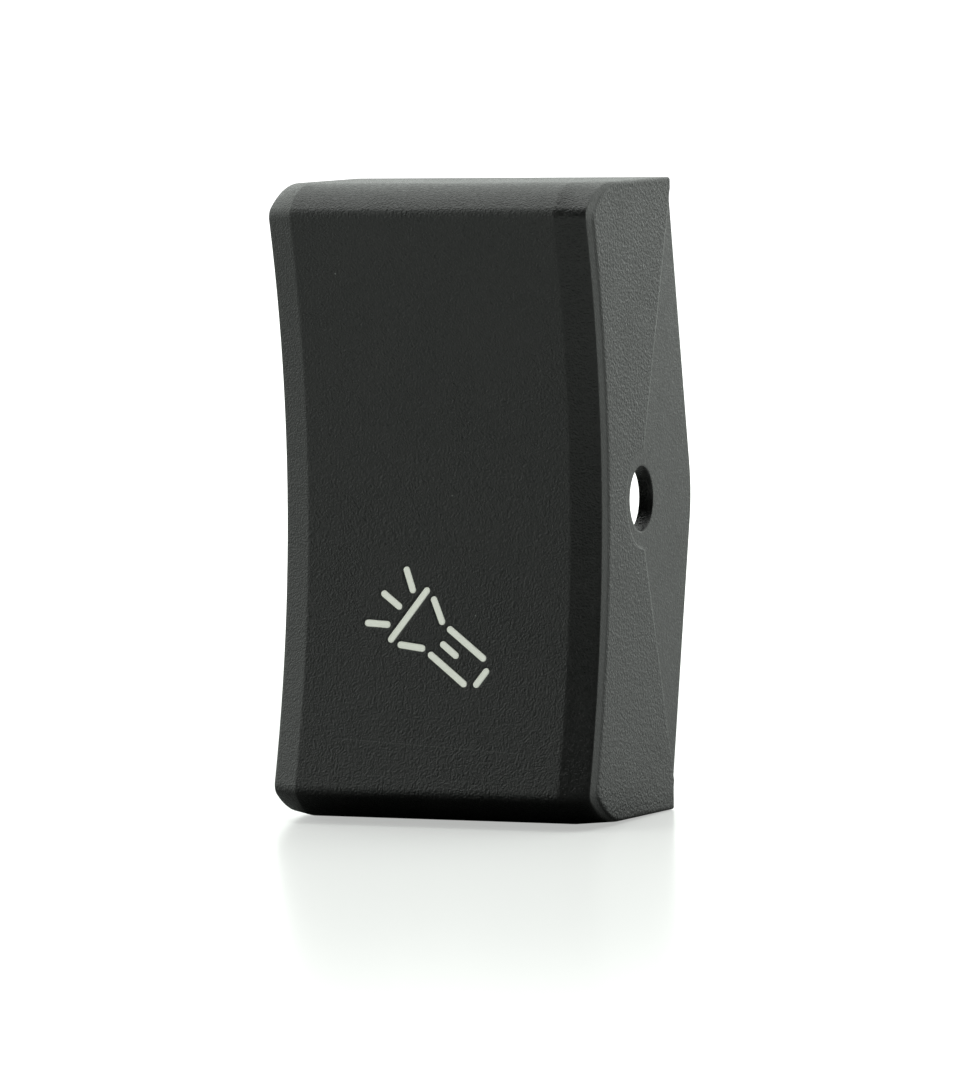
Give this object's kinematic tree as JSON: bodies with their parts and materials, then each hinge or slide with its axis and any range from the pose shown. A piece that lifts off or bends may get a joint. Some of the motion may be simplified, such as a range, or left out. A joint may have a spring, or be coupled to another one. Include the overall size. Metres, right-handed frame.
{
  "type": "rocker switch button",
  "caption": "Clip-on rocker switch button: concave black face with a lamp legend, pivot ears, a light box and sprung plungers behind.",
  "frame": {"origin": "on the pivot axis, at mid-width", "axes": "+Z along the button towards its upper end, -Y out of the concave face, X along the pivot axis"},
  "size_m": [0.0236, 0.0218, 0.044],
  "materials": {
    "cap": "fine moulded grain",
    "legend": "translucent white, satin",
    "shroud": "white reflector, satin",
    "carrier": "moulded, satin",
    "plunger": "natural acetal",
    "spring": "drawn wire",
    "pad": "matte elastomer"
  },
  "bodies": {
    "button": {"rocker_cap": "cap", "legend_insert": "legend", "lamp_shroud": "shroud", "plunger_carrier": "carrier", "stop_pad_upper": "pad", "stop_pad_lower": "pad"},
    "left_plunger": {"plunger_left": "plunger", "plunger_spring_left": "spring"},
    "right_plunger": {"plunger_right": "plunger", "plunger_spring_right": "spring"}
  },
  "joints": [
    {"name": "left_plunger_slide", "type": "slide", "parent": "button", "child": "left_plunger", "axis": [0, -1, 0], "range_m": [0, 0.0025], "stiffness_N_per_m": 800, "springref_m": -0.002, "deforming": ["plunger_spring_left"]},
    {"name": "right_plunger_slide", "type": "slide", "parent": "button", "child": "right_plunger", "axis": [0, -1, 0], "range_m": [0, 0.0025], "stiffness_N_per_m": 800, "springref_m": -0.002, "deforming": ["plunger_spring_right"]}
  ]
}
